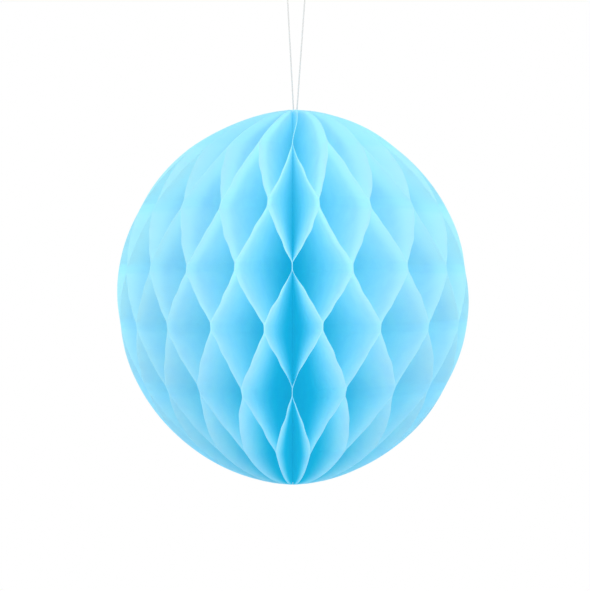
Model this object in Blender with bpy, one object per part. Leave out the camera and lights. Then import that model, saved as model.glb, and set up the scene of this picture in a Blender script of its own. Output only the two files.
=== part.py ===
"""Honeycomb paper ball on a hanging thread.

Forty half-disc leaves of tissue are glued to each other in staggered lines and bound along one
straight spine. Fanned out through a full turn, each leaf is drawn to its left neighbour at some
heights and to its right neighbour at the others, so it zigzags and the gaps become diamond cells.
Two cover cards close the turn: they lie back to back at the rear, held by double-sided tape. The
ball hangs on the loop that its binding thread leaves above the spine.

Metres, +Z up. The origin is the ball's centre, on its spine. The front is -Y, and the cards meet
at the rear, +Y. An angle round the spine is 0 at the front and grows towards +X.
"""

import math
from itertools import pairwise

import bmesh
import bpy
from mathutils import Vector

# The ball as it hangs, fanned out
BALL_WIDTH = 0.1000
BALL_HEIGHT = 0.1070
FAN_DRIFT = 0.044  # radians by which the unevenly drawn leaves lean round towards the right

# The tissue leaves
LEAF_COUNT = 40
PAPER = 0.0001
POLE_RADIUS = 0.0040  # how far from the axis a leaf's curved edge ends at the top and bottom

# The glue lines between two leaves, measured on the flat sheet
GLUE_PITCH = 0.0359
GLUE_WIDTH = 0.0025
FIRST_LINE = 0.0088  # height of the front gap's first line above the middle

# What touches is kept this far apart
FIT_GAP = 0.0003

# The bound spine
SPINE_RADIUS = 0.0015
SPINE_RECESS = 0.0003  # how far its ends lie inside the leaves' ends
SPINE_CHAMFER = 0.0003

# The cover cards and the tape between them
CARD_THICKNESS = 0.0004
CARD_INSET = 0.0010  # how far the cards are cut inside the leaves' outline
TAPE_THICKNESS = 0.0002
TAPE_WIDTH = 0.0060
TAPE_LENGTH = 0.0300
TAPE_SPACING = 0.0430  # between the middles of the two strips
TAPE_MARGIN = 0.0020  # from a strip's outer corner to the cards' curved edge

# The hanging thread: sideways place and height above the ball's top, up one strand, over and down
THREAD_DIAMETER = 0.0004
THREAD_STEP = 3 * THREAD_DIAMETER
THREAD_ROUTE = (
    (0.00020, 0.0000),
    (-0.00004, 0.0045),
    (-0.00039, 0.0110),
    (-0.00074, 0.0175),
    (-0.00110, 0.0240),
    (-0.00145, 0.0305),
    (-0.00168, 0.0345),
    (-0.00174, 0.0361),
    (-0.00138, 0.0375),
    (-0.00039, 0.0384),
    (0.00096, 0.0388),
    (0.00231, 0.0384),
    (0.00330, 0.0375),
    (0.00366, 0.0361),
    (0.00358, 0.0345),
    (0.00330, 0.0305),
    (0.00284, 0.0240),
    (0.00238, 0.0175),
    (0.00192, 0.0110),
    (0.00146, 0.0045),
    (0.00114, 0.0000),
)

# How finely the curves are faceted and worked out, and where a shaded edge counts as sharp
SLOPE_STEPS = 4
POLE_STEPS = 3
CARD_STEPS = 26
SPINE_SIDES = 16
RIM_ROUNDS = 12
FOLD_EDGE = math.radians(50)
SPINE_EDGE = math.radians(40)

# Finishes: colour and roughness
TISSUE = (0.20, 0.66, 0.94), 0.85
CARD = (0.24, 0.62, 0.86), 0.7
SPINE = (0.12, 0.52, 0.84), 0.8
TAPE = (0.86, 0.86, 0.83), 0.5
COTTON = (0.84, 0.84, 0.82), 0.8

# Worked out from the sizes above
HALF_WIDTH = BALL_WIDTH / 2
HALF_HEIGHT = BALL_HEIGHT / 2
SETBACK = (HALF_HEIGHT**2 - HALF_WIDTH**2) / BALL_WIDTH  # the outline arc's centre, behind the spine
OUTLINE_RADIUS = HALF_WIDTH + SETBACK
LEAF_TOP = math.sqrt(OUTLINE_RADIUS**2 - (POLE_RADIUS + SETBACK) ** 2)
INNER_RADIUS = SPINE_RADIUS + FIT_GAP
LEAF_STEP = 2 * math.pi / LEAF_COUNT
GLUED_SHIFT = (PAPER + FIT_GAP) / 2  # from the plane between two glued leaves to a leaf's middle
CARD_SHIFT = TAPE_THICKNESS / 2 + FIT_GAP + CARD_THICKNESS / 2
SEAM_SHIFT = CARD_SHIFT + CARD_THICKNESS / 2 + FIT_GAP + PAPER / 2


def clear_scene():
    """Remove whatever the open file holds."""
    for thing in list(bpy.data.objects):
        bpy.data.objects.remove(thing, do_unlink=True)


def material(name, colour, roughness):
    """A plain non-metallic finish."""
    finish = bpy.data.materials.new(name)
    finish.use_nodes = True
    shader = finish.node_tree.nodes["Principled BSDF"]
    shader.inputs["Base Color"].default_value = (*colour, 1.0)
    shader.inputs["Roughness"].default_value = roughness
    shader.inputs["Metallic"].default_value = 0.0
    return finish


def add_object(name, data, finish, parent, turn=0.0):
    """A named piece, turned about the spine."""
    piece = bpy.data.objects.new(name, data)
    piece.rotation_euler = (0.0, 0.0, turn)
    piece.parent = parent
    data.materials.append(finish)
    bpy.context.collection.objects.link(piece)
    return piece


def thicken(piece, thickness):
    """Give a flat or folded sheet its thickness, half to each side."""
    solid = piece.modifiers.new("thickness", "SOLIDIFY")
    solid.thickness = thickness
    solid.offset = 0.0
    solid.use_even_offset = True


def drawn_height(height, radius):
    """Height of a point of the flat sheet once the fan is open.

    The further out, the more of the sheet's height goes into its zigzag: a slope keeps its length
    while it reaches from one column of glue lines to the next.
    """
    reach = max(0.0, radius * LEAF_STEP - 2 * GLUED_SHIFT)
    slope = GLUE_PITCH / 2 - GLUE_WIDTH
    drawn = math.sqrt(slope**2 - reach**2) + GLUE_WIDTH
    return height * drawn / (GLUE_PITCH / 2)


def outline_distance(height):
    """Distance from the spine to the open ball's outline, an arc, at a height on the ball."""
    return math.sqrt(OUTLINE_RADIUS**2 - height**2) - SETBACK


def rim_radius(height):
    """Distance from the spine to a leaf's curved edge, at a height on the flat sheet.

    The leaf is cut so that its edge meets the outline once its height is drawn in. How far it is
    drawn in depends on the distance itself, so the distance is narrowed down in a few rounds.
    """
    radius = outline_distance(height)
    for _ in range(RIM_ROUNDS):
        radius = outline_distance(drawn_height(height, radius))
    return radius


def column_angle(column):
    """Direction of a column of glue lines: column 0 and the last one lie on the seam at the rear."""
    even = -math.pi + column * LEAF_STEP
    return even + FAN_DRIFT * (1 - math.cos(2 * even))


def column_shift(column):
    """How far a column lies beside the axis: the seam's thickness fades out towards the front."""
    return SEAM_SHIFT * (1 - 2 * column / LEAF_COUNT)


def glue_lines(column):
    """Heights of a column's glue lines on the flat sheet. Odd columns are even ones upside down."""
    first = FIRST_LINE if column % 2 == 0 else -FIRST_LINE
    reach = LEAF_TOP - GLUE_WIDTH
    most = math.ceil(2 * reach / GLUE_PITCH)
    heights = (first + step * GLUE_PITCH for step in range(-most, most + 1))
    return [height for height in heights if abs(height) < reach]


def fold_levels(leaf):
    """Heights on the flat leaf, with the side it is drawn to at each: -1 left, 1 right."""
    lines = [(height, -1) for height in glue_lines(leaf - 1)]
    lines += [(height, 1) for height in glue_lines(leaf)]
    lines.sort()
    levels = []
    for height, side in lines:
        levels.append((height - GLUE_WIDTH / 2, side))
        levels.append((height + GLUE_WIDTH / 2, side))
    for (low, low_side), (high, high_side) in pairwise(lines):
        start = low + GLUE_WIDTH / 2
        end = high - GLUE_WIDTH / 2
        for step in range(1, SLOPE_STEPS):
            share = step / SLOPE_STEPS
            side = low_side + (high_side - low_side) * share
            levels.append((start + (end - start) * share, side))
    for last, side, way in ((lines[0][0], lines[0][1], -1), (lines[-1][0], lines[-1][1], 1)):
        start = math.asin((abs(last) + GLUE_WIDTH / 2) / OUTLINE_RADIUS)
        end = math.asin(LEAF_TOP / OUTLINE_RADIUS)
        for step in range(1, POLE_STEPS + 1):
            angle = start + (end - start) * step / POLE_STEPS
            levels.append((way * OUTLINE_RADIUS * math.sin(angle), side))
    return sorted(levels)


def fan_point(radius, side, half_angle, shifts):
    """A point of a leaf in its own frame, where -Y is midway between its two columns."""
    angle = half_angle * side
    shift = shifts[0] + (shifts[1] - shifts[0]) * (side + 1) / 2
    x = radius * math.sin(angle) + shift * math.cos(angle)
    y = -radius * math.cos(angle) + shift * math.sin(angle)
    return x, y


def leaf_mesh(name, leaf, half_angle, shifts):
    """The folded middle surface of a leaf: flat near the spine, then widening zigzags to the rim."""
    crossing = (shifts[0] - shifts[1]) / (2 * half_angle)
    flat_radius = max(crossing, INNER_RADIUS + FIT_GAP)
    points = []
    for height, side in fold_levels(leaf):
        for radius, drawn_side in ((INNER_RADIUS, 0), (flat_radius, 0), (rim_radius(height), side)):
            x, y = fan_point(radius, drawn_side, half_angle, shifts)
            points.append((x, y, drawn_height(height, radius)))
    faces = []
    for row in range(len(points) // 3 - 1):
        for span in range(2):
            corner = row * 3 + span
            faces.append((corner, corner + 1, corner + 4, corner + 3))
    mesh = bpy.data.meshes.new(name)
    mesh.from_pydata(points, [], faces)
    mesh.shade_smooth()
    mesh.set_sharp_from_angle(angle=FOLD_EDGE)
    return mesh


def add_leaves(finish, parent):
    """All the tissue leaves, from the left cover card round the front to the right one."""
    for leaf in range(1, LEAF_COUNT + 1):
        left = column_angle(leaf - 1)
        right = column_angle(leaf)
        left_shift = column_shift(leaf - 1) + (GLUED_SHIFT if leaf > 1 else 0)
        right_shift = column_shift(leaf) - (GLUED_SHIFT if leaf < LEAF_COUNT else 0)
        name = f"leaf_{leaf:02d}"
        mesh = leaf_mesh(name, leaf, (right - left) / 2, (left_shift, right_shift))
        piece = add_object(name, mesh, finish, parent, turn=(left + right) / 2)
        thicken(piece, PAPER)


def card_mesh(name, x):
    """A half disc standing in the seam plane, cut a little inside the leaves' outline."""
    radius = OUTLINE_RADIUS - CARD_INSET
    end = math.acos((INNER_RADIUS + SETBACK) / radius)
    points = []
    for step in range(CARD_STEPS + 1):
        angle = -end + 2 * end * step / CARD_STEPS
        points.append((x, radius * math.cos(angle) - SETBACK, radius * math.sin(angle)))
    mesh = bpy.data.meshes.new(name)
    mesh.from_pydata(points, [], [tuple(range(len(points)))])
    return mesh


def add_cards(finish, parent):
    """The two cover cards, one on each side of the seam plane."""
    for name, x in (("cover_card_left", -CARD_SHIFT), ("cover_card_right", CARD_SHIFT)):
        thicken(add_object(name, card_mesh(name, x), finish, parent), CARD_THICKNESS)


def box_mesh(name, low, high):
    """A closed box between two corners."""
    shape = bmesh.new()
    bmesh.ops.create_cube(shape, size=1.0)
    bmesh.ops.scale(shape, vec=high - low, verts=shape.verts)
    bmesh.ops.translate(shape, vec=(high + low) / 2, verts=shape.verts)
    mesh = bpy.data.meshes.new(name)
    shape.to_mesh(mesh)
    shape.free()
    return mesh


def add_tape(finish, parent):
    """Two upright strips of double-sided tape that hold the cards together near their curved edge."""
    far_end = TAPE_SPACING / 2 + TAPE_LENGTH / 2
    card_radius = OUTLINE_RADIUS - CARD_INSET
    outer = math.sqrt(card_radius**2 - far_end**2) - SETBACK - TAPE_MARGIN
    for name, middle in (("tape_strip_upper", TAPE_SPACING / 2), ("tape_strip_lower", -TAPE_SPACING / 2)):
        low = Vector((-TAPE_THICKNESS / 2, outer - TAPE_WIDTH, middle - TAPE_LENGTH / 2))
        high = Vector((TAPE_THICKNESS / 2, outer, middle + TAPE_LENGTH / 2))
        add_object(name, box_mesh(name, low, high), finish, parent)


def add_spine(finish, parent):
    """The bound straight edges, as one slim round bar along the axis."""
    shape = bmesh.new()
    bmesh.ops.create_cone(
        shape,
        cap_ends=True,
        segments=SPINE_SIDES,
        radius1=SPINE_RADIUS,
        radius2=SPINE_RADIUS,
        depth=2 * (LEAF_TOP - SPINE_RECESS),
    )
    ends = [edge for edge in shape.edges if abs(edge.verts[0].co.z - edge.verts[1].co.z) < FIT_GAP]
    bmesh.ops.bevel(shape, geom=ends, offset=SPINE_CHAMFER, segments=1, affect="EDGES")
    mesh = bpy.data.meshes.new("bound_spine")
    shape.to_mesh(mesh)
    shape.free()
    mesh.shade_smooth()
    mesh.set_sharp_from_angle(angle=SPINE_EDGE)
    add_object("bound_spine", mesh, finish, parent)


def smooth_route(points):
    """The points of an even curve that runs through the route's own points."""
    ends = [points[0] * 2 - points[1], *points, points[-1] * 2 - points[-2]]
    fine = []
    for before, start, end, after in zip(ends, ends[1:], ends[2:], ends[3:], strict=False):
        steps = max(1, round((end - start).length / THREAD_STEP))
        for step in range(steps):
            t = step / steps
            linear = (end - before) * t
            square = (before * 2 - start * 5 + end * 4 - after) * t**2
            cube = (start * 3 - before - end * 3 + after) * t**3
            fine.append((start * 2 + linear + square + cube) / 2)
    return [*fine, points[-1]]


def add_thread(finish, parent):
    """The hanging loop: both its ends come out of the top of the spine."""
    route = smooth_route([Vector((x, 0.0, LEAF_TOP + height)) for x, height in THREAD_ROUTE])
    curve = bpy.data.curves.new("hanging_thread", "CURVE")
    curve.dimensions = "3D"
    curve.bevel_depth = THREAD_DIAMETER / 2
    curve.bevel_resolution = 2
    curve.use_fill_caps = True
    spline = curve.splines.new("POLY")
    spline.points.add(len(route) - 1)
    for point, place in zip(spline.points, route, strict=True):
        point.co = (*place, 1.0)
    add_object("hanging_thread", curve, finish, parent)


def main():
    """Build the ball round its centre."""
    clear_scene()
    ball = bpy.data.objects.new("honeycomb_ball", None)
    bpy.context.collection.objects.link(ball)
    add_leaves(material("tissue", *TISSUE), ball)
    add_cards(material("cover_card", *CARD), ball)
    add_tape(material("tape", *TAPE), ball)
    add_spine(material("spine", *SPINE), ball)
    add_thread(material("thread", *COTTON), ball)


main()
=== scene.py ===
"""The looks of a honeycomb paper ball: sheer blue leaves glued into cells, two cover cards, a thread.

Forty half-disc tissue leaves stand round one bound spine. Each is drawn to its left neighbour at some
heights and to its right neighbour at others, so it zigzags and the gaps between leaves become diamond
cells. Two cards lie back to back where the turn closes, and the ball hangs on a loop of cotton.

Metres, +Z up, in the frame of the CAD model: the origin is the ball's centre on its spine, the front
is -Y and the cards meet at +Y. An angle round the spine is 0 at the front and grows towards +X.
"""

import logging
import math
from dataclasses import dataclass
from enum import Enum

import bpy
import numpy as np
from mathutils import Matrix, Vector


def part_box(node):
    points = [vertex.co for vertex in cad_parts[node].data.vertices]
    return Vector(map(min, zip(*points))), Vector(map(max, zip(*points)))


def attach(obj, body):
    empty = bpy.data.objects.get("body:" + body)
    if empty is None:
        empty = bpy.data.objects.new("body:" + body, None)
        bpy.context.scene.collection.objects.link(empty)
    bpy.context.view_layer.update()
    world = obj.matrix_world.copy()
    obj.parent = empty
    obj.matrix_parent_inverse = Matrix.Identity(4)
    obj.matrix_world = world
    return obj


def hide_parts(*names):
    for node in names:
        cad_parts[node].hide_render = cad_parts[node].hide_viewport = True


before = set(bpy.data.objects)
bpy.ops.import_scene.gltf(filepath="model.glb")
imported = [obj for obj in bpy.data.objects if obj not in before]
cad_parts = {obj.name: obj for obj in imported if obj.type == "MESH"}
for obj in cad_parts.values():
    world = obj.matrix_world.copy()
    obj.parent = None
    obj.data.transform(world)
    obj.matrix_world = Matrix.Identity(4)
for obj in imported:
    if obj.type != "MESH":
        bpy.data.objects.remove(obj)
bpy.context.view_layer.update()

log = logging.getLogger("honeycomb_ball")

Colour = tuple[float, float, float]

IMAGE_WIDTH = 590
IMAGE_HEIGHT = 591
MILLIMETRE = 0.001
ROUTE_SHARES = 24


class Side(Enum):
    """A side: that of a leaf on which a glue line holds it, or that of the seam."""

    LEFT = -1
    RIGHT = 1


def unit(vectors: np.ndarray) -> np.ndarray:
    """Each vector divided by its own length."""
    return vectors / np.linalg.norm(vectors, axis=-1, keepdims=True)


def smooth_step(low: float, high: float, values: np.ndarray) -> np.ndarray:
    """0 under the low value and 1 over the high one, as 3 t squared less 2 t cubed between them."""
    share = np.clip((values - low) / (high - low), 0.0, 1.0)
    return share * share * (3.0 - 2.0 * share)


def grid_quads(points: np.ndarray) -> np.ndarray:
    """The faces of a grid whose point numbers are given row by row.

    Args:
        points: A table of point numbers, one row of the grid to a row.

    Returns:
        The four corners of each face, turning from the columns' direction to the rows' direction.
    """
    corners = (points[:-1, :-1], points[:-1, 1:], points[1:, 1:], points[1:, :-1])
    return np.stack(corners, axis=-1).reshape(-1, 4)


def make_mesh(name: str, points: np.ndarray, faces: list[np.ndarray], sharp: float) -> bpy.types.Mesh:
    """A smooth mesh from whole arrays.

    Args:
        name: The mesh's name.
        points: The points, one to a row.
        faces: Arrays of corner numbers, each array for faces with one number of corners.
        sharp: Edges that turn by more than this angle, in radians, stay sharp.

    Returns:
        The mesh.
    """
    mesh = bpy.data.meshes.new(name)
    mesh.from_pydata(points.reshape(-1, 3), [], [face for group in faces for face in group.tolist()])
    mesh.shade_smooth()
    mesh.set_sharp_from_angle(angle=sharp)
    return mesh


def set_attribute(mesh: bpy.types.Mesh, name: str, values: np.ndarray) -> None:
    """Store one number for each point of a mesh under a name that a material reads."""
    attribute = mesh.attributes.new(name, "FLOAT", "POINT")
    attribute.data.foreach_set("value", np.ascontiguousarray(values, np.float32).ravel())


def set_uv(mesh: bpy.types.Mesh, places: np.ndarray) -> None:
    """Give each face corner the UV place of its point.

    Args:
        mesh: The mesh that takes the map.
        places: The two UV numbers of each point, one point to a row.
    """
    corners = np.empty(len(mesh.loops), np.int32)
    mesh.loops.foreach_get("vertex_index", corners)
    layer = mesh.uv_layers.new(name="sheet")
    layer.uv.foreach_set("vector", np.ascontiguousarray(places[corners], np.float32).ravel())


def sheet_shell(middle: np.ndarray, thickness: np.ndarray) -> tuple[np.ndarray, list[np.ndarray]]:
    """A closed thin solid round a sheet's middle surface.

    The surface's normal is the cross product of its steps along the columns and along the rows. Each
    point goes half the thickness to both sides of it, and a strip of faces joins the two borders.

    Args:
        middle: The surface's points, as rows, columns and three numbers.
        thickness: The sheet's thickness at each point.

    Returns:
        The points of the front and then of the back, and the faces.
    """
    rows, columns = middle.shape[:2]
    along_rows = np.gradient(middle, axis=0)
    along_columns = np.gradient(middle, axis=1)
    lift = unit(np.cross(along_columns, along_rows)) * thickness[..., None] / 2
    points = np.concatenate(((middle + lift).reshape(-1, 3), (middle - lift).reshape(-1, 3)))
    front = np.arange(rows * columns).reshape(rows, columns)
    back = front + rows * columns
    border = np.concatenate((front[0, :-1], front[:-1, -1], front[-1, :0:-1], front[:0:-1, 0]))
    onward = np.roll(border, -1)
    deep = rows * columns
    rim = np.stack((border, border + deep, onward + deep, onward), axis=-1)
    return points, [grid_quads(front), grid_quads(back)[:, ::-1], rim]


def swept_tube(
    line: np.ndarray, reach: np.ndarray, across: np.ndarray
) -> tuple[np.ndarray, list[np.ndarray]]:
    """A closed tube along a line that lies in the XZ plane.

    At each point of the line, one axis of the section is Y and the other is at right angles to Y and
    to the line. A section point stands at its reach from the line, in the direction of its angle.

    Args:
        line: The points that the tube follows.
        reach: For each point of the line, the reach of each point of the section.
        across: The angle of each point of the section, all round.

    Returns:
        The points, with one more at the middle of each end, and the faces.
    """
    rings, sides = reach.shape
    forward = unit(np.gradient(line, axis=0))
    first = np.tile((0.0, 1.0, 0.0), (rings, 1))
    second = np.cross(forward, first)
    sideways = np.cos(across)[None, :, None] * first[:, None]
    upwards = np.sin(across)[None, :, None] * second[:, None]
    skin = line[:, None] + (sideways + upwards) * reach[..., None]
    points = np.concatenate((skin.reshape(-1, 3), line[:1], line[-1:]))
    numbers = np.arange(rings * sides).reshape(rings, sides)
    around = np.concatenate((numbers, numbers[:, :1]), axis=1)
    start, end = rings * sides, rings * sides + 1
    first_ring, last_ring = around[0], around[-1]
    start_cap = np.stack((np.full(sides, start), first_ring[1:], first_ring[:-1]), axis=-1)
    end_cap = np.stack((np.full(sides, end), last_ring[:-1], last_ring[1:]), axis=-1)
    return points, [grid_quads(around), start_cap, end_cap]


def smooth_route(points: np.ndarray, step: float) -> np.ndarray:
    """Points of an even curve through all the given points.

    Between two points the curve is the cubic whose slope at each end is half the way from the point
    before to the point after.

    Args:
        points: The points that the curve runs through.
        step: The distance between the points that come back.

    Returns:
        The curve's points, evenly spaced along it.
    """
    ends = np.concatenate(([2 * points[0] - points[1]], points, [2 * points[-1] - points[-2]]))
    before, start, end, after = (ends[i : len(ends) - 3 + i, None] for i in range(4))
    t = np.linspace(0.0, 1.0, ROUTE_SHARES, endpoint=False)[None, :, None]
    square = 2 * before - 5 * start + 4 * end - after
    cube = 3 * start - before - 3 * end + after
    curve = (2 * start + (end - before) * t + square * t**2 + cube * t**3) / 2
    fine = np.concatenate((curve.reshape(-1, points.shape[1]), points[-1:]))
    travelled = np.concatenate(([0.0], np.cumsum(np.linalg.norm(np.diff(fine, axis=0), axis=1))))
    places = np.linspace(0.0, travelled[-1], round(travelled[-1] / step) + 1)
    return np.stack([np.interp(places, travelled, fine[:, axis]) for axis in range(3)], axis=-1)


def route_length(line: np.ndarray) -> float:
    """The sum of the distances between neighbouring points of a line."""
    return float(np.linalg.norm(np.diff(line, axis=0), axis=1).sum())


def add_piece(mesh: bpy.types.Mesh, finish: bpy.types.Material, node: str) -> bpy.types.Object:
    """Put a finished mesh into the scene in place of a CAD node.

    Args:
        mesh: The mesh, whose name the piece takes.
        finish: Its material.
        node: The CAD node that the piece stands for.

    Returns:
        The piece, riding on the one body.
    """
    piece = bpy.data.objects.new(mesh.name, mesh)
    mesh.materials.append(finish)
    bpy.context.collection.objects.link(piece)
    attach(piece, "root")
    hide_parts(node)
    log.info("%s: %d points, %d faces, for %s", piece.name, len(mesh.vertices), len(mesh.polygons), node)
    return piece


class Shading:
    """A node tree with short ways to add and join its nodes."""

    def __init__(self, tree: bpy.types.NodeTree) -> None:
        """Take over an empty tree."""
        self.tree = tree

    def add(self, kind: str, settings: dict[str, object] | None = None, **inputs: object) -> bpy.types.Node:
        """Add a node.

        Args:
            kind: The node's Blender type, without the ShaderNode in front.
            settings: Its options by name.
            **inputs: Its inputs by name, with _ for a space: an output socket to join, or a value.

        Returns:
            The node.
        """
        node = self.tree.nodes.new("ShaderNode" + kind)
        for option, value in (settings or {}).items():
            setattr(node, option, value)
        for key, value in inputs.items():
            self.feed(node.inputs[key.replace("_", " ")], value)
        return node

    def feed(self, socket: bpy.types.NodeSocket, value: object) -> None:
        """Join an output to an input, or set the input's own value."""
        if isinstance(value, bpy.types.NodeSocket):
            self.tree.links.new(value, socket)
        else:
            socket.default_value = (*value, 1.0) if socket.type == "RGBA" else value

    def math(self, operation: str, *values: object) -> bpy.types.NodeSocket:
        """One step of arithmetic on numbers or outputs, and its result."""
        node = self.add("Math", {"operation": operation})
        for socket, value in zip(node.inputs, values):
            self.feed(socket, value)
        return node.outputs[0]

    def fade(
        self, value: object, low: float, high: float, first: float, last: float
    ) -> bpy.types.NodeSocket:
        """A smooth change from the first number at low to the last number at high."""
        node = self.add("MapRange", {"interpolation_type": "SMOOTHSTEP"}, Value=value)
        for name, number in (("From Min", low), ("From Max", high), ("To Min", first), ("To Max", last)):
            node.inputs[name].default_value = number
        return node.outputs[0]

    def blend(self, share: object, first: object, second: object, way: str = "MIX") -> bpy.types.NodeSocket:
        """Two colours combined, the second by the given share."""
        node = self.add("Mix", {"data_type": "RGBA", "blend_type": way})
        for index, value in ((0, share), (6, first), (7, second)):
            self.feed(node.inputs[index], value)
        return node.outputs[2]


def paper_fibre_group(fibre_relief: float = 0.35) -> bpy.types.ShaderNodeTree:
    """The clouds and fibres of a sheet of paper, for tissue and card.

    Args:
        fibre_relief: How high the fibres stand next to the clouds.

    Returns:
        A group that takes a place and the sizes of clouds and fibres, each as a number to a metre. It
        gives Cloud and Fibre, both 0 to 1 and a half on average, and Height for a bump.
    """
    group = bpy.data.node_groups.new("paper fibres", "ShaderNodeTree")
    group.interface.new_socket("Place", in_out="INPUT", socket_type="NodeSocketVector")
    for name in ("Clouds", "Fibres"):
        group.interface.new_socket(name, in_out="INPUT", socket_type="NodeSocketFloat")
    for name in ("Cloud", "Fibre", "Height"):
        group.interface.new_socket(name, in_out="OUTPUT", socket_type="NodeSocketFloat")
    shading = Shading(group)
    given = group.nodes.new("NodeGroupInput").outputs
    cloud = shading.add("TexNoise", Vector=given["Place"], Scale=given["Clouds"], Detail=3.0, Roughness=0.6)
    warp = shading.add("TexNoise", Vector=given["Place"], Scale=given["Fibres"], Detail=2.0, Distortion=3.0)
    strands = shading.add(
        "TexNoise", {"noise_type": "RIDGED_MULTIFRACTAL", "normalize": True}, Vector=given["Place"],
        Scale=given["Fibres"], Detail=3.0, Roughness=0.7, Distortion=1.5,
    )
    fibre = shading.blend(0.5, warp.outputs[0], strands.outputs[0])
    results = group.nodes.new("NodeGroupOutput").inputs
    shading.feed(results["Cloud"], cloud.outputs[0])
    shading.feed(results["Fibre"], fibre)
    shading.feed(results["Height"], shading.math("MULTIPLY_ADD", fibre, fibre_relief, cloud.outputs[0]))
    return group


def cut_edge_group() -> bpy.types.ShaderNodeTree:
    """The paler line along a cut edge: on card its fluffed cut, on tissue painted light along the rim.

    Returns:
        A group that takes the distance to the cut and the line's width, both in one unit, and gives
        Mask: 1 at the cut, falling smoothly to 0 at the width.
    """
    group = bpy.data.node_groups.new("cut edge", "ShaderNodeTree")
    for name in ("Distance", "Width"):
        group.interface.new_socket(name, in_out="INPUT", socket_type="NodeSocketFloat")
    group.interface.new_socket("Mask", in_out="OUTPUT", socket_type="NodeSocketFloat")
    shading = Shading(group)
    given = group.nodes.new("NodeGroupInput").outputs
    share = shading.math("DIVIDE", given["Distance"], given["Width"])
    mask = shading.fade(share, 0.0, 1.0, 1.0, 0.0)
    shading.feed(group.nodes.new("NodeGroupOutput").inputs["Mask"], mask)
    return group


def place_group(shading: Shading, group: bpy.types.ShaderNodeTree, **inputs: object) -> bpy.types.Node:
    """Put a group into a material with its own values."""
    node = shading.tree.nodes.new("ShaderNodeGroup")
    node.node_tree = group
    for name, value in inputs.items():
        shading.feed(node.inputs[name], value)
    return node


def new_material(name: str) -> tuple[bpy.types.Material, Shading]:
    """A material with an empty node tree."""
    material = bpy.data.materials.new(name)
    material.use_nodes = True
    material.node_tree.nodes.clear()
    return material, Shading(material.node_tree)


@dataclass(frozen=True)
class TissueFinish:
    """Thin tissue in a blue dye, which passes on about as much light as it sends back.

    Light deep between the leaves has crossed many of them and lost its red, and the colour paints that
    in: it runs from painted light, pale, at the cut edge to painted shade, a strong blue, at the spine.
    How far light has come through paper is taken as the share of the way in from the cut edge to the
    spine. As most light falls from above, that share is scaled by one less the stretch times the
    height, and the lean times the height comes off it, so the painted light is paler higher up. A leaf
    tints what it shades and doesn't black it out.
    """

    # Painted light at the rim, the paper as lit near the rim and further in, painted shade between leaves.
    painted_rim_light: Colour = (0.605, 0.85, 0.90)
    near_colour: Colour = (0.59, 0.83, 0.885)
    mid_colour: Colour = (0.54, 0.82, 0.87)
    painted_deep_shade: Colour = (0.045, 0.705, 0.80)
    shadow_tint: Colour = (0.97, 0.988, 0.99)
    through: float = 0.55
    rim_light_share: float = 0.10
    near_share: float = 0.24
    deep_from: float = 0.09
    deep_to: float = 0.88
    stretch: float = 9.0
    lean: float = 2.4
    clouds: float = 260.0
    fibres: float = 1900.0
    thick_tone: float = 0.965
    fibre_tone: float = 0.97
    bump_depth: float = 0.00004

    def build(self, fibres: bpy.types.ShaderNodeTree, cut: bpy.types.ShaderNodeTree) -> bpy.types.Material:
        """Make the material.

        Args:
            fibres: The group of paper fibres.
            cut: The group of the cut edge.

        Returns:
            The material, which reads the attribute inward of a leaf: 0 at the cut edge, 1 at the spine.
        """
        material, shading = new_material("blue_tissue")
        place = shading.add("TexCoord").outputs["Object"]
        inward = shading.add("Attribute", {"attribute_name": "inward"}).outputs["Fac"]
        height = shading.add("SeparateXYZ", Vector=place).outputs["Z"]
        stretched = shading.math("MULTIPLY_ADD", height, -self.stretch, 1.0)
        scaled = shading.math("MULTIPLY", inward, stretched)
        crossed = shading.math("MULTIPLY_ADD", height, -self.lean, scaled)
        paper = place_group(shading, fibres, Place=place, Clouds=self.clouds, Fibres=self.fibres)
        # Painted light and shade: pale along the cut edge and higher up, a strong blue deep between the
        # leaves.
        edge = place_group(shading, cut, Distance=crossed, Width=self.rim_light_share)
        near = shading.fade(crossed, 0.0, self.near_share, 0.0, 1.0)
        outer = shading.blend(near, self.near_colour, self.mid_colour)
        depth = shading.fade(crossed, self.deep_from, self.deep_to, 0.0, 1.0)
        painted_light_and_shade = shading.blend(depth, outer, self.painted_deep_shade)
        clouded = shading.fade(paper.outputs["Cloud"], 0.25, 0.75, self.thick_tone, 1.0)
        streaked = shading.fade(paper.outputs["Fibre"], 0.2, 0.8, self.fibre_tone, 1.0)
        mottle = shading.math("MULTIPLY", clouded, streaked)
        tone = shading.add("CombineColor", Red=shading.math("POWER", mottle, 2.0), Green=mottle, Blue=1.0)
        mottled = shading.blend(1.0, painted_light_and_shade, tone.outputs[0], "MULTIPLY")
        colour = shading.blend(edge.outputs["Mask"], mottled, self.painted_rim_light)
        relief = shading.add("Bump", Height=paper.outputs["Height"], Distance=self.bump_depth, Strength=0.6)
        front = shading.add("BsdfPrincipled", Base_Color=colour, Roughness=0.85, Normal=relief.outputs[0])
        front.inputs["Specular IOR Level"].default_value = 0.15
        through = shading.add("BsdfTranslucent", Color=colour, Normal=relief.outputs[0])
        mixed = shading.add("MixShader", Fac=self.through)
        shading.feed(mixed.inputs[1], front.outputs[0])
        shading.feed(mixed.inputs[2], through.outputs[0])
        shade = shading.add("BsdfTransparent", Color=self.shadow_tint)
        sheer = shading.add("MixShader", Fac=shading.add("LightPath").outputs["Is Shadow Ray"])
        shading.feed(sheer.inputs[1], mixed.outputs[0])
        shading.feed(sheer.inputs[2], shade.outputs[0])
        shading.add("OutputMaterial", Surface=sheer.outputs[0])
        return material


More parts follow.
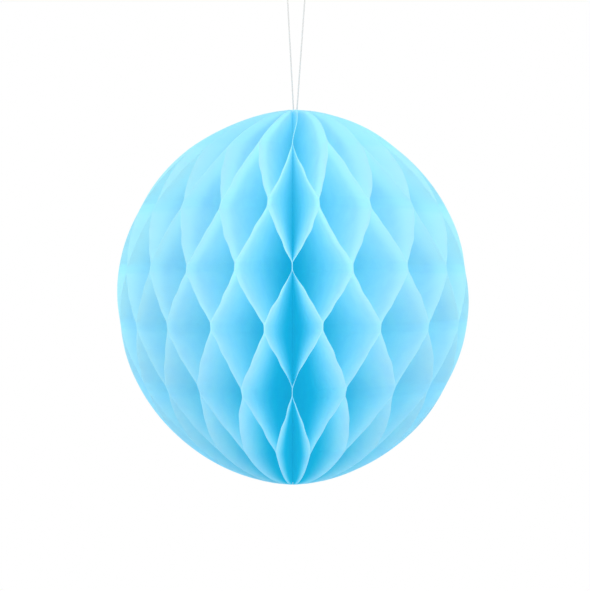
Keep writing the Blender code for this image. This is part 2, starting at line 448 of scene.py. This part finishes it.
@dataclass(frozen=True)
class CardFinish:
    """Blue card: matt, paler in its cut edge, a little rubbed along it."""

    colour: Colour = (0.22, 0.62, 0.88)
    core_colour: Colour = (0.55, 0.78, 0.88)
    edge_width: float = 0.0005
    clouds: float = 180.0
    fibres: float = 1400.0
    bump_depth: float = 0.00006

    def build(self, fibres: bpy.types.ShaderNodeTree, cut: bpy.types.ShaderNodeTree) -> bpy.types.Material:
        """Make the material.

        Args:
            fibres: The group of paper fibres.
            cut: The group of the cut edge.

        Returns:
            The material, which reads the attribute rim of a card.
        """
        material, shading = new_material("blue_card")
        place = shading.add("TexCoord").outputs["Object"]
        rim = shading.add("Attribute", {"attribute_name": "rim"}).outputs["Fac"]
        paper = place_group(shading, fibres, Place=place, Clouds=self.clouds, Fibres=self.fibres)
        edge = place_group(shading, cut, Distance=rim, Width=self.edge_width)
        shade = shading.fade(paper.outputs["Cloud"], 0.2, 0.8, 0.9, 1.0)
        tone = shading.add("CombineColor", Red=shade, Green=shade, Blue=shade)
        mottled = shading.blend(1.0, self.colour, tone.outputs[0], "MULTIPLY")
        rubbed = shading.fade(paper.outputs["Fibre"], 0.3, 0.6, 0.5, 1.0)
        worn = shading.math("MULTIPLY", edge.outputs["Mask"], rubbed)
        colour = shading.blend(worn, mottled, self.core_colour)
        relief = shading.add("Bump", Height=paper.outputs["Height"], Distance=self.bump_depth, Strength=0.7)
        rough = shading.fade(paper.outputs["Fibre"], 0.2, 0.8, 0.62, 0.8)
        skin = shading.add("BsdfPrincipled", Base_Color=colour, Roughness=rough, Normal=relief.outputs[0])
        skin.inputs["Specular IOR Level"].default_value = 0.3
        shading.add("OutputMaterial", Surface=skin.outputs[0])
        return material


@dataclass(frozen=True)
class TapeFinish:
    """Double-sided tape: a milky film with a slight gloss and a few dull patches of glue."""

    colour: Colour = (0.80, 0.82, 0.80)
    patches: float = 350.0
    glue_depth: float = 0.00003

    def build(self) -> bpy.types.Material:
        """Make the material."""
        material, shading = new_material("milky_tape")
        place = shading.add("TexCoord").outputs["Object"]
        noise = shading.add("TexNoise", Vector=place, Scale=self.patches, Detail=4.0, Roughness=0.65)
        glue = noise.outputs[0]
        shade = shading.fade(glue, 0.3, 0.7, 0.92, 1.0)
        tone = shading.add("CombineColor", Red=shade, Green=shade, Blue=shade)
        colour = shading.blend(1.0, self.colour, tone.outputs[0], "MULTIPLY")
        relief = shading.add("Bump", Height=glue, Distance=self.glue_depth, Strength=0.5)
        rough = shading.fade(glue, 0.3, 0.7, 0.35, 0.6)
        film = shading.add("BsdfPrincipled", Base_Color=colour, Roughness=rough, Normal=relief.outputs[0])
        shading.add("OutputMaterial", Surface=film.outputs[0])
        return material


@dataclass(frozen=True)
class CottonFinish:
    """Twisted cotton: off-white plies, painted shade in the grooves, fine fibres along the twist, a soft
    sheen.
    """

    name: str = "white_cotton"
    colour: Colour = (0.74, 0.74, 0.73)
    groove_shade_colour: Colour = (0.46, 0.46, 0.46)
    fibre_scale: float = 9000.0
    fibre_depth: float = 0.00002

    def build(self) -> bpy.types.Material:
        """Make the material, which reads the attribute ply: 0 in a groove and 1 on a crown."""
        material, shading = new_material(self.name)
        place = shading.add("TexCoord").outputs["Object"]
        ply = shading.add("Attribute", {"attribute_name": "ply"}).outputs["Fac"]
        noise = shading.add("TexNoise", Vector=place, Scale=self.fibre_scale, Detail=3.0, Distortion=2.0)
        fibre = noise.outputs[0]
        # Painted shade: the grooves between the plies take the darker groove colour.
        crown = shading.fade(ply, 0.0, 0.6, 0.0, 1.0)
        base = shading.blend(crown, self.groove_shade_colour, self.colour)
        shade = shading.fade(fibre, 0.3, 0.7, 0.88, 1.0)
        tone = shading.add("CombineColor", Red=shade, Green=shade, Blue=shade)
        colour = shading.blend(1.0, base, tone.outputs[0], "MULTIPLY")
        relief = shading.add("Bump", Height=fibre, Distance=self.fibre_depth, Strength=0.5)
        yarn = shading.add("BsdfPrincipled", Base_Color=colour, Roughness=0.8, Normal=relief.outputs[0])
        yarn.inputs["Sheen Weight"].default_value = 0.25
        shading.add("OutputMaterial", Surface=yarn.outputs[0])
        return material


@dataclass
class HoneycombLeaves:
    """The tissue leaves between their columns of glue lines.

    Column 0 and the last column lie on the seam at the rear, and leaf k hangs between column k - 1 on
    its left and column k on its right. A leaf is a half disc, so a point of it is given by its height
    on the flat sheet and its distance from the spine.
    """

    width: float = 0.1000
    height: float = 0.1070
    count: int = 40
    drift: float = 0.044
    paper: float = 0.000040
    glued_gap: float = 0.000025
    inner_radius: float = 0.00075
    glue_pitch: float = 0.0359
    glue_width: float = 0.0025
    first_line: float = 0.0088
    seam_shift: float = 0.00060
    most_lines: int = 3
    uneven_turn: float = 0.0050
    uneven_height: float = 0.00035
    turn_beat: float = 2.7
    height_beats: tuple[float, float] = (1.9, 4.1)
    crown_lean: float = 0.0013
    crown_from: float = 0.0430
    crown_to: float = 0.0505
    crown_core: float = 0.0080
    burr: float = 0.00002
    burr_reach: float = 0.00030
    fold_softness: float = 0.00045
    fold_samples: int = 7
    ripple: float = 0.00028
    waves: tuple[tuple[float, float, float], ...] = (
        (95.0, 60.0, 1.7), (210.0, -130.0, 2.9), (40.0, 240.0, 4.3)
    )
    calm_core: float = 0.03
    edge_ripple: float = 0.00010
    edge_waves: tuple[tuple[float, float], ...] = ((720.0, 5.1), (1130.0, 2.3))
    edge_reach: float = 0.0040
    row_step: float = 0.00060
    rim_rounds: int = 12
    columns: tuple[float, ...] = (
        0.0, 0.0035, 0.009, 0.02, 0.04, 0.08, 0.14, 0.22, 0.32, 0.44, 0.57, 0.71, 0.86, 1.0
    )

    @property
    def setback(self) -> float:
        """How far behind the spine the centre of the leaf's outline lies."""
        return (self.height**2 - self.width**2) / 4 / self.width

    @property
    def outline_radius(self) -> float:
        """The radius of the leaf's curved edge."""
        return self.width / 2 + self.setback

    @property
    def glued_shift(self) -> float:
        """From the plane between two glued leaves to the middle of either."""
        return (self.paper + self.glued_gap) / 2

    @property
    def top(self) -> float:
        """The height at which the curved edge meets the inner edge of the leaf."""
        return math.sqrt(self.outline_radius**2 - (self.setback + 2 * self.inner_radius) ** 2)

    def outline_distance(self, heights: np.ndarray) -> np.ndarray:
        """Distance from the spine to the open ball's outline: an arc about a centre behind the spine."""
        return np.sqrt(self.outline_radius**2 - heights**2) - self.setback

    def rim_radius(self, heights: np.ndarray) -> np.ndarray:
        """Distance from the spine to a leaf's curved edge, at heights on the flat sheet.

        The edge meets the outline once its height is drawn in. How far it is drawn in depends on the
        distance itself, so the distance is narrowed down in a few rounds.
        """
        radii = self.outline_distance(heights)
        for _ in range(self.rim_rounds):
            radii = self.outline_distance(self.drawn_height(heights, radii))
        return radii

    def column_angle(self, column: int) -> float:
        """The direction of a column of glue lines.

        Even steps from the rear round the front and back, plus the drift times one less the cosine of
        twice the even angle: nothing at the front and the rear, and most at the two sides. As the
        ball is opened by hand, a column also stands off by a sine of its own number times the
        uneven turn, but for the two on the seam.
        """
        even = -math.pi + column * 2 * math.pi / self.count
        fanned = even + self.drift * (1 - math.cos(2 * even))
        return fanned + self.uneven_turn * math.sin(self.turn_beat * column) * (0 < column < self.count)

    def column_shift(self, column: int) -> float:
        """How far a column lies beside the axis: the seam's thickness fades out towards the front."""
        return self.seam_shift * (1 - 2 * column / self.count)

    def glue_lines(self, column: int) -> np.ndarray:
        """Heights of a column's glue lines on the flat sheet.

        Odd columns are even ones upside down. Each line lies off its even place by a sine of its own
        number and its column's, times the uneven height.
        """
        first = self.first_line if column % 2 == 0 else -self.first_line
        line = np.arange(-self.most_lines, self.most_lines + 1)
        beat = self.height_beats[0] * column + self.height_beats[1] * line
        heights = first + line * self.glue_pitch + self.uneven_height * np.sin(beat)
        return heights[np.abs(heights) < self.top - self.glue_width]

    def side_at(self, leaf: int, heights: np.ndarray) -> np.ndarray:
        """How far a leaf is drawn to its right at each height, from -1 to 1.

        It is -1 or 1 across each glue line and changes evenly between two of them. The mean over a
        short stretch of height rounds each fold.

        Args:
            leaf: The leaf's number, from 1.
            heights: Heights on the flat sheet.

        Returns:
            The side for each height.
        """
        left, right = self.glue_lines(leaf - 1), self.glue_lines(leaf)
        centres = np.concatenate((left, right))
        sides = np.repeat((Side.LEFT.value, Side.RIGHT.value), (len(left), len(right)))
        order = np.argsort(centres)
        edges = np.array((-0.5, 0.5)) * self.glue_width
        knots = (centres[order, None] + edges).ravel()
        around = heights[:, None] + np.linspace(-1.0, 1.0, self.fold_samples) * self.fold_softness
        return np.interp(around, knots, np.repeat(sides[order], 2)).mean(axis=1)

    def drawn_height(self, heights: np.ndarray, radii: np.ndarray) -> np.ndarray:
        """Heights once the fan is open.

        A slope keeps its length while it reaches from one column to the next, so its height is the
        root of the slope squared less the reach squared. A glue line keeps its whole height.
        """
        reach = np.maximum(0.0, radii * 2 * math.pi / self.count - 2 * self.glued_shift)
        slope = self.glue_pitch / 2 - self.glue_width
        return heights * (np.sqrt(slope**2 - reach**2) + self.glue_width) / (self.glue_pitch / 2)

    def sheet_rows(self, leaf: int) -> np.ndarray:
        """Heights on the flat sheet: even steps, and both borders of every glue line."""
        lines = np.concatenate((self.glue_lines(leaf - 1), self.glue_lines(leaf)))
        borders = (lines[:, None] + np.array((-0.5, 0.5)) * self.glue_width).ravel()
        even = np.linspace(-self.top, self.top, round(2 * self.top / self.row_step))
        far = np.abs(even[:, None] - borders).min(axis=1) > self.row_step / 3
        return np.sort(np.concatenate((even[far], borders)))

    def ripples(self, leaf: int, heights: np.ndarray, radii: np.ndarray, side: np.ndarray) -> np.ndarray:
        """How far the paper stands off its even shape.

        Each wave is a sine of its turns up and its turns out, in radians to a metre, with a phase
        that steps on from leaf to leaf, and each weighs less than the one before. The edge waves
        run along the rim and die away inwards by e for each edge reach. All are scaled by one less
        the side squared, so that the glue lines stay put, and fade out towards the spine.
        """
        total = self.ripple * sum(
            np.sin(up * heights + out * radii + phase * leaf) / (1 + rank)
            for rank, (up, out, phase) in enumerate(self.waves)
        )
        near_rim = np.exp((radii - self.rim_radius(heights)) / self.edge_reach)
        crinkle = sum(np.sin(up * heights + phase * leaf) for up, phase in self.edge_waves)
        total = total + self.edge_ripple * crinkle * near_rim
        return total * (1 - side**2) * smooth_step(0.0, self.calm_core, radii)

    def crown_shift(self, heights: np.ndarray, radii: np.ndarray, angle: np.ndarray) -> np.ndarray:
        """How far the crown leans towards +X.

        The crown lean, fading in with height, times the same kind of fade with the distance from the
        spine, times half of one plus the cosine of the angle: most at the front, none at the seam.
        """
        risen = smooth_step(self.crown_from, self.crown_to, heights)
        return self.crown_lean * risen * smooth_step(0.0, self.crown_core, radii) * (1 + np.cos(angle)) / 2

    def surface(self, leaf: int) -> tuple[np.ndarray, np.ndarray]:
        """The middle surface of a leaf.

        A point at a distance from the spine stands in the direction midway between the leaf's two
        columns, turned by half the angle between them times the side, and stepped sideways by the
        shift of the nearer column, by the ripples and by the lean of the crown.

        Args:
            leaf: The leaf's number, from 1.

        Returns:
            The points as rows and columns, and the share of their way in from the cut edge.
        """
        heights = self.sheet_rows(leaf)[:, None]
        reach = self.rim_radius(heights) - self.inner_radius
        radii = self.inner_radius + reach * (1 - np.array(self.columns))
        side = self.side_at(leaf, heights[:, 0])[:, None]
        left, right = self.column_angle(leaf - 1), self.column_angle(leaf)
        left_shift = self.column_shift(leaf - 1) + (self.glued_shift if leaf > 1 else 0.0)
        right_shift = self.column_shift(leaf) - (self.glued_shift if leaf < self.count else 0.0)
        angle = (left + right) / 2 + side * (right - left) / 2
        shift = left_shift + (right_shift - left_shift) * (side + 1) / 2
        shift = shift + self.ripples(leaf, heights, radii, side)
        x = radii * np.sin(angle) + shift * np.cos(angle) + self.crown_shift(heights, radii, angle)
        y = -radii * np.cos(angle) + shift * np.sin(angle)
        points = np.stack((x, y, self.drawn_height(heights, radii)), axis=-1)
        return points, 1 - radii / self.rim_radius(heights)

    def build(self, finish: bpy.types.Material) -> None:
        """Make every leaf as a closed thin sheet, with a burr along its cut edge.

        The burr's thickness falls by e for each burr reach on the way in.
        """
        for leaf in range(1, self.count + 1):
            middle, inward = self.surface(leaf)
            burr = self.burr * np.exp(-inward * self.width / 2 / self.burr_reach)
            points, faces = sheet_shell(middle, self.paper + burr)
            mesh = make_mesh(f"tissue_{leaf:02d}", points, faces, math.radians(60))
            set_attribute(mesh, "inward", np.tile(inward.ravel(), 2))
            across = (1 - inward) / 2
            up = np.linspace(0.0, 1.0, len(inward))[:, None] * np.ones_like(inward)
            sides = np.concatenate((across.ravel(), 1 - across.ravel()))
            places = np.stack((sides, np.tile(up.ravel(), 2)), axis=-1)
            set_uv(mesh, places)
            add_piece(mesh, finish, f"leaf_{leaf:02d}")


@dataclass
class SeamCards:
    """The two cover cards, back to back in the plane behind the spine, and the tape between them."""

    outline_radius: float
    setback: float
    inset: float = 0.0010
    thickness: float = 0.0004
    tape: float = 0.0002
    gap: float = 0.00002
    inner_radius: float = 0.0010
    corner: float = 0.00012
    corner_points: int = 4
    steps: int = 96
    face_rings: tuple[float, ...] = (0.03, 0.015, 0.006, 0.002, 0.0008)
    tape_grid: tuple[int, int] = (41, 13)
    torn_waves: tuple[tuple[float, float], ...] = ((0.0003, 5200.0), (0.00018, 11800.0))

    def card_section(self) -> tuple[np.ndarray, np.ndarray]:
        """The rounded edge of a card: how far in from its outline, and how far off its middle.

        A quarter circle at each corner joins the flat faces to the flat cut edge.
        """
        turn = np.linspace(0.0, math.pi / 2, self.corner_points)
        inward = self.corner * (1 - np.sin(turn))
        off = self.thickness / 2 - self.corner * (1 - np.cos(turn))
        return np.concatenate((inward, inward[::-1])), np.concatenate((off, -off[::-1]))

    def outline(self, inward: np.ndarray) -> np.ndarray:
        """The card's outline drawn inward by some distances: an arc closed by a straight edge.

        Args:
            inward: How far inside the outline each ring of points lies.

        Returns:
            Places across and up the card, one ring of points to a row.
        """
        radius = (self.outline_radius - self.inset - inward)[:, None]
        straight = self.inner_radius + inward[:, None]
        end = np.arccos((straight + self.setback) / radius)
        turn = np.linspace(-1.0, 1.0, self.steps)[None, :] * end
        arc = np.stack((radius * np.cos(turn) - self.setback, radius * np.sin(turn)), axis=-1)
        rise = np.linspace(1.0, -1.0, self.steps // 2)[1:-1][None, :, None]
        level = np.broadcast_to(arc[:, -1:, :1], (len(arc), rise.shape[1], 1))
        back = np.concatenate((level, arc[:, -1:, 1:] * rise), axis=2)
        return np.concatenate((arc, back), axis=1)

    def card_mesh(self, name: str, x: float) -> bpy.types.Mesh:
        """A card as rings from the middle of one face, over the edge, to the middle of the other."""
        inward, off = self.card_section()
        face = np.array(self.face_rings)
        rings = np.concatenate((face, inward, face[::-1]))
        offsets = np.concatenate((np.full(len(face), off[0]), off, np.full(len(face), off[-1])))
        flat = self.outline(rings)
        middle = flat.mean(axis=1, keepdims=True)
        near = np.concatenate((flat, flat[:, :1]), axis=1)
        across = np.full(near.shape[:2], x) + offsets[:, None]
        grid = np.stack((across, near[..., 0], near[..., 1]), axis=-1)[:, :-1]
        sides = grid.shape[1]
        ends = [0, -1]
        hubs = np.stack((x + offsets[ends], middle[ends, 0, 0], middle[ends, 0, 1]), axis=-1)
        points = np.concatenate((grid.reshape(-1, 3), hubs))
        numbers = np.arange(len(rings) * sides).reshape(len(rings), sides)
        around = np.concatenate((numbers, numbers[:, :1]), axis=1)
        hub = len(rings) * sides
        first = np.stack((np.full(sides, hub), around[0, :-1], around[0, 1:]), axis=-1)
        last = np.stack((np.full(sides, hub + 1), around[-1, 1:], around[-1, :-1]), axis=-1)
        mesh = make_mesh(name, points, [grid_quads(around)[:, ::-1], first, last], math.radians(50))
        rim = np.concatenate((np.repeat(rings, sides), rings[ends]))
        set_attribute(mesh, "rim", rim)
        return mesh

    def build_cards(self, finish: bpy.types.Material) -> None:
        """Make both cards."""
        shift = self.tape / 2 + self.gap + self.thickness / 2
        for side in Side:
            name = side.name.lower()
            mesh = self.card_mesh(f"{name}_card", side.value * shift)
            add_piece(mesh, finish, f"cover_card_{name}")

    def build_tape(self, finish: bpy.types.Material) -> None:
        """Make each strip of tape: its outline is a box with wavy hand-torn ends, one grid to a face."""
        for name, node in (("upper_tape", "tape_strip_upper"), ("lower_tape", "tape_strip_lower")):
            low, high = (np.array(corner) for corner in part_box(node))
            rows, columns = self.tape_grid
            across = np.linspace(low[1], high[1], columns)
            torn = sum(reach * np.sin(across * turns) for reach, turns in self.torn_waves)
            up = np.linspace(0.0, 1.0, rows)[:, None]
            rise = (low[2] + torn) * (1 - up) + (high[2] + torn[::-1]) * up
            middle = np.stack((np.zeros_like(rise), np.broadcast_to(across, rise.shape), rise), axis=-1)
            points, faces = sheet_shell(middle, np.full(rise.shape, high[0] - low[0]))
            add_piece(make_mesh(name, points, faces, math.radians(50)), finish, node)


@dataclass
class ThreadWork:
    """The hanging loop of twisted cotton, and the bound spine that its ends come out of."""

    top: float
    diameter: float = 0.0004
    plies: int = 3
    twist: float = 0.0011
    groove: float = 0.22
    crown_roundness: float = 0.6
    rings_a_lay: int = 8
    sides: int = 18
    route: tuple[tuple[float, float], ...] = (
        (0.00020, 0.0000),
        (-0.00004, 0.0045),
        (-0.00039, 0.0110),
        (-0.00074, 0.0175),
        (-0.00110, 0.0240),
        (-0.00145, 0.0305),
        (-0.00168, 0.0345),
        (-0.00174, 0.0361),
        (-0.00138, 0.0375),
        (-0.00039, 0.0384),
        (0.00096, 0.0388),
        (0.00231, 0.0384),
        (0.00330, 0.0375),
        (0.00366, 0.0361),
        (0.00358, 0.0345),
        (0.00330, 0.0305),
        (0.00284, 0.0240),
        (0.00238, 0.0175),
        (0.00192, 0.0110),
        (0.00146, 0.0045),
        (0.00114, 0.0000),
    )
    spine_radius: float = 0.00062
    spine_ridges: int = 24
    spine_rings: int = 421
    ridge_share: float = 0.07
    end_share: float = 0.55
    end_reach: float = 0.0006
    stitch: float = 0.0085
    stitch_share: float = 0.22
    stitch_reach: float = 0.0005

    def section(self, travelled: np.ndarray) -> tuple[np.ndarray, np.ndarray, np.ndarray]:
        """The section of the twisted plies all along the thread.

        The reach is the radius less the groove times one less the size of the cosine of half the
        plies' angle, raised to a power that keeps the crowns round. The angle turns with the way
        travelled, one full turn for each lay of the twist.

        Args:
            travelled: The way along the thread to each ring.

        Returns:
            The reach of each point of each ring, the angles of the section, and how near each point
            is to a ply's crown, from 0 to 1.
        """
        across = np.linspace(0.0, 2 * math.pi, self.sides, endpoint=False)
        turned = across[None, :] + travelled[:, None] * 2 * math.pi / (self.twist * self.plies)
        crown = np.abs(np.cos(turned * self.plies / 2)) ** self.crown_roundness
        return self.diameter / 2 * (1 - self.groove * (1 - crown)), across, crown

    def build_thread(self, finish: bpy.types.Material) -> None:
        places = np.array([(x, 0.0, self.top + rise) for x, rise in self.route])
        line = smooth_route(places, self.twist / self.rings_a_lay)
        travelled = np.arange(len(line)) * route_length(line) / (len(line) - 1)
        reach, across, crown = self.section(travelled)
        points, faces = swept_tube(line, reach, across)
        mesh = make_mesh("cotton_thread", points, faces, math.radians(60))
        set_attribute(mesh, "ply", np.concatenate((crown.ravel(), (0.5, 0.5))))
        thread = add_piece(mesh, finish, "hanging_thread")
        log.info("the loop holds %.1f mm of thread", route_length(line) / MILLIMETRE)

    def build_spine(self, finish: bpy.types.Material) -> None:
        """Make the spine: gathered edges as fine ridges, drawn in by a stitch at even heights.

        The reach is the spine's radius, narrowed at each stitch by a bell curve of the distance to
        it, narrowed towards both ends, and rippled round by a cosine with one turn to a ridge.
        """
        low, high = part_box("bound_spine")
        heights = np.linspace(low[2], high[2], self.spine_rings)
        line = np.stack((np.zeros_like(heights), np.zeros_like(heights), heights), axis=-1)
        across = np.linspace(0.0, 2 * math.pi, 2 * self.spine_ridges, endpoint=False)
        off_stitch = np.abs((heights / self.stitch + 0.5) % 1.0 - 0.5) * self.stitch
        drawn_in = 1 - self.stitch_share * np.exp(-((off_stitch / self.stitch_reach) ** 2))
        off_end = np.minimum(heights - heights[0], heights[-1] - heights)
        ends = self.end_share + (1 - self.end_share) * smooth_step(0.0, self.end_reach, off_end)
        ridges = 1 + self.ridge_share * np.cos(across * self.spine_ridges)
        reach = self.spine_radius * (drawn_in * ends)[:, None] * ridges
        points, faces = swept_tube(line, reach, across)
        mesh = make_mesh("stitched_spine", points, faces, math.radians(60))
        # Inward 1 gives the spine the tissue's painted shade from deep between the leaves.
        set_attribute(mesh, "inward", np.ones(len(points)))
        add_piece(mesh, finish, "bound_spine")


@dataclass
class Studio:
    """The floor, the soft light and the camera.

    The picture's own numbers are pixels of the photograph's frame: where the ball's centre lies in
    it, and how many pixels a metre takes there.
    """

    distance: float = 0.500
    centre_x: float = 292.87
    centre_y: float = 297.2
    pixels_per_metre: float = 3503.0
    sensor: float = 36.0
    floor_drop: float = 0.26
    floor_radius: float = 0.75
    floor_rings: tuple[float, ...] = (1.0, 0.98, 0.9)
    floor_sides: int = 96
    ambient: float = 0.62
    bounces: int = 8
    leaves_crossed: int = 48
    lamps: tuple[tuple[str, tuple[float, float, float], float, float], ...] = (
        ("left_softbox", (-0.80, -0.72, 0.32), 0.80, 4.9),
        ("right_softbox", (0.80, -0.72, 0.32), 0.80, 4.2),
        ("top_softbox", (0.00, -0.20, 1.00), 1.00, 2.3),
        ("rear_softbox", (0.00, 1.00, 0.40), 0.80, 1.0),
    )

    def build_camera(self) -> None:
        """Place the camera level, at its distance, so that the ball's centre falls on its pixel."""
        data = bpy.data.cameras.new("camera")
        data.sensor_width = self.sensor
        focal_pixels = self.pixels_per_metre * self.distance
        data.lens = focal_pixels * self.sensor / max(IMAGE_WIDTH, IMAGE_HEIGHT)
        camera = bpy.data.objects.new("camera", data)
        x = (IMAGE_WIDTH / 2 - self.centre_x) / self.pixels_per_metre
        z = (self.centre_y - IMAGE_HEIGHT / 2) / self.pixels_per_metre
        camera.location = (x, -self.distance, z)
        camera.rotation_euler = (math.pi / 2, 0.0, 0.0)
        bpy.context.collection.objects.link(camera)
        bpy.context.scene.camera = camera

    def build_floor(self) -> None:
        """A pale round floor well under the ball: rings of points about its middle."""
        rings = np.array(self.floor_rings)[:, None] * self.floor_radius
        turn = np.linspace(0.0, 2 * math.pi, self.floor_sides, endpoint=False)[None, :]
        across = rings * np.cos(turn)
        level = np.full(across.shape, -self.floor_drop)
        grid = np.stack((across, rings * np.sin(turn), level), axis=-1)
        numbers = np.arange(across.size).reshape(across.shape)
        around = np.concatenate((numbers, numbers[:, :1]), axis=1)
        mesh = make_mesh("floor", grid, [grid_quads(around), numbers[-1:]], math.radians(60))
        material, shading = new_material("pale_floor")
        skin = shading.add("BsdfPrincipled", Base_Color=(0.86, 0.86, 0.86), Roughness=0.9)
        shading.add("OutputMaterial", Surface=skin.outputs[0])
        mesh.materials.append(material)
        floor = bpy.data.objects.new("floor", mesh)
        bpy.context.collection.objects.link(floor)

    def build_lamps(self) -> None:
        """Square soft lamps, each turned to the ball's centre."""
        for name, place, size, power in self.lamps:
            data = bpy.data.lights.new(name, "AREA")
            data.size = size
            data.energy = power
            lamp = bpy.data.objects.new(name, data)
            position = np.array(place)
            lamp.location = position
            tilt = math.atan2(math.hypot(position[0], position[1]), position[2])
            heading = math.atan2(position[1], position[0]) + math.pi / 2
            lamp.rotation_euler = (tilt, 0.0, heading)
            bpy.context.collection.objects.link(lamp)

    def build_world(self) -> None:
        """A white room: full white to the camera, softer as a light.

        Rays that the tissue passes on count as transmitted, so they are left out of the white.
        """
        world = bpy.data.worlds.new("white_room")
        world.use_nodes = True
        world.node_tree.nodes.clear()
        shading = Shading(world.node_tree)
        rays = shading.add("LightPath").outputs
        seen = shading.math("MAXIMUM", rays["Is Camera Ray"], rays["Is Glossy Ray"])
        strength = shading.math("ADD", shading.math("MULTIPLY", seen, 1.0 - self.ambient), self.ambient)
        glow = shading.add("Background", Color=(1.0, 1.0, 1.0), Strength=strength)
        shading.add("OutputWorld", Surface=glow.outputs[0])
        bpy.context.scene.world = world

    def set_light_paths(self) -> None:
        """Let light cross and leave many leaves, as it does in the real ball."""
        bpy.context.scene.view_settings.view_transform = "Standard"
        cycles = bpy.context.scene.cycles
        cycles.max_bounces = self.bounces
        cycles.diffuse_bounces = self.bounces
        cycles.transmission_bounces = self.bounces
        cycles.transparent_max_bounces = 2 * self.leaves_crossed


def main() -> None:
    """Build the camera and the thread first, then the leaves, the cards and the light."""
    logging.basicConfig(level=logging.INFO, format="%(name)s: %(message)s")
    studio = Studio()
    studio.build_camera()
    leaves = HoneycombLeaves()
    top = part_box("hanging_thread")[0][2]
    threads = ThreadWork(top=top)
    threads.build_thread(CottonFinish().build())
    fibres, cut = paper_fibre_group(), cut_edge_group()
    tissue = TissueFinish().build(fibres, cut)
    leaves.build(tissue)
    threads.build_spine(tissue)
    cards = SeamCards(outline_radius=leaves.outline_radius, setback=leaves.setback)
    cards.build_cards(CardFinish().build(fibres, cut))
    cards.build_tape(TapeFinish().build())
    studio.build_floor()
    studio.build_lamps()
    studio.build_world()
    studio.set_light_paths()


if __name__ == "__main__":
    main()
